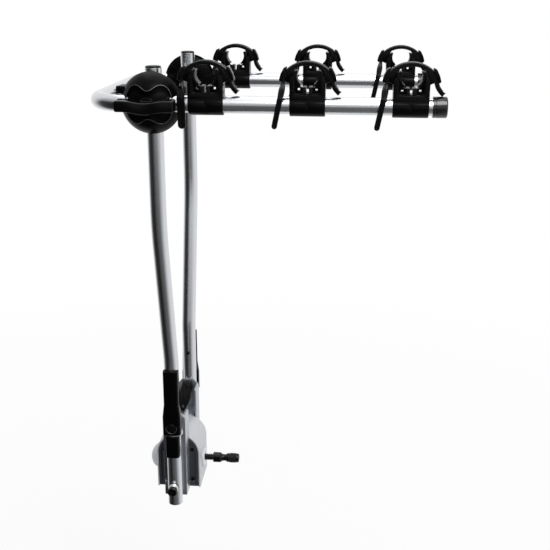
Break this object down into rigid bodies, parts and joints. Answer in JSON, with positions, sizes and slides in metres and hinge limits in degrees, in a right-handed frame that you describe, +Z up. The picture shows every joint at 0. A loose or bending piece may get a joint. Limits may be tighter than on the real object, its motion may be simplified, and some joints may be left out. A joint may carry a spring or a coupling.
{
  "type": "tow ball bike rack",
  "caption": "Tow ball bike rack with a folding tube frame, rubber cradles and straps on two arms, and a screw-clamped housing below.",
  "frame": {"origin": "centre of the tow ball inside the clamp housing", "axes": "+Z up, +X away from the car towards the free ends of the arms, -Y the left side"},
  "size_m": [0.5925, 0.504, 0.873],
  "materials": {
    "tube": "metallic silver paint",
    "steel": "light grey paint",
    "dark": "moulded black",
    "cover": "satin black",
    "knob": "fine grained black",
    "rubber": "matt black",
    "pad": "matt grey",
    "cap": "soft black",
    "zinc": "zinc plated",
    "wire": "spring wire",
    "plate": "dark grey paint",
    "liner": "hard liner",
    "jaw": "cast, dark",
    "black_steel": "black zinc",
    "webbing": "woven webbing"
  },
  "bodies": {
    "coupling": {"left_bracket": "steel", "left_end_plate": "plate", "right_bracket": "steel", "right_end_plate": "plate", "pivot_bolts": "black_steel", "pivot_nuts": "black_steel", "housing_shell": "steel", "ball_cup": "liner", "cross_beam": "steel", "tie_bolts": "black_steel", "spindle_bush": "zinc", "webbing_strap": "webbing"},
    "uprights": {"left_upright": "tube", "left_upright_saddle": "cover", "left_upper_cover": "cover", "left_lower_cover": "cover", "left_pin_spring": "wire", "right_upright": "tube", "right_upright_saddle": "cover", "right_upper_cover": "cover", "right_lower_cover": "cover", "right_pin_spring": "wire", "upright_plugs": "cap", "hub_bolts": "zinc", "tube_collars": "zinc", "cover_screws": "black_steel", "spring_seats": "zinc"},
    "arms": {"arm_frame": "tube", "left_arm_cap": "cap", "left_front_cradle": "dark", "left_front_pad": "pad", "left_front_strap": "rubber", "left_middle_cradle": "dark", "left_middle_pad": "pad", "left_middle_strap": "rubber", "left_rear_cradle": "dark", "left_rear_pad": "pad", "left_rear_strap": "rubber", "left_hub_cover": "cover", "left_arm_saddle": "cover", "right_arm_cap": "cap", "right_front_cradle": "dark", "right_front_pad": "pad", "right_front_strap": "rubber", "right_middle_cradle": "dark", "right_middle_pad": "pad", "right_middle_strap": "rubber", "right_rear_cradle": "dark", "right_rear_pad": "pad", "right_rear_strap": "rubber", "right_hub_cover": "cover", "right_arm_saddle": "cover"},
    "left_knob": {"left_wing_knob": "knob"},
    "right_knob": {"right_wing_knob": "knob"},
    "left_pin": {"left_latch_pin": "black_steel"},
    "right_pin": {"right_latch_pin": "black_steel"},
    "jaw": {"ball_jaw": "jaw"},
    "spindle": {"clamp_spindle": "black_steel", "spindle_grip": "knob"}
  },
  "joints": [
    {"name": "uprights_tilt", "type": "hinge", "parent": "coupling", "child": "uprights", "pos_m": [0.0355, 0, 0.121], "axis": [0, 1, 0], "range_deg": [0, 40]},
    {"name": "arms_fold", "type": "hinge", "parent": "uprights", "child": "arms", "pos_m": [0.0355, 0, 0.748], "axis": [0, 1, 0], "range_deg": [0, 90]},
    {"name": "left_knob_turn", "type": "hinge", "parent": "arms", "child": "left_knob", "pos_m": [0.0355, -0.1965, 0.748], "axis": [0, -1, 0], "continuous": true},
    {"name": "right_knob_turn", "type": "hinge", "parent": "arms", "child": "right_knob", "pos_m": [0.0355, 0.1965, 0.748], "axis": [0, 1, 0], "continuous": true},
    {"name": "left_latch_pull", "type": "slide", "parent": "uprights", "child": "left_pin", "axis": [0, -1, 0], "range_m": [0, 0.008], "stiffness_N_per_m": 1500, "springref_m": -0.003, "deforming": ["left_pin_spring"]},
    {"name": "right_latch_pull", "type": "slide", "parent": "uprights", "child": "right_pin", "axis": [0, 1, 0], "range_m": [0, 0.008], "stiffness_N_per_m": 1500, "springref_m": -0.003, "deforming": ["right_pin_spring"]},
    {"name": "spindle_turn", "type": "hinge", "parent": "jaw", "child": "spindle", "pos_m": [0.06, 0, 0], "axis": [1, 0, 0], "range_deg": [0, 1800]},
    {"name": "jaw_slide", "type": "slide", "parent": "coupling", "child": "jaw", "axis": [1, 0, 0], "range_m": [0, 0.02]}
  ],
  "couplings": [
    {"joint": "spindle_turn", "follows": "jaw_slide", "rad_per_m": 1570.8}
  ]
}
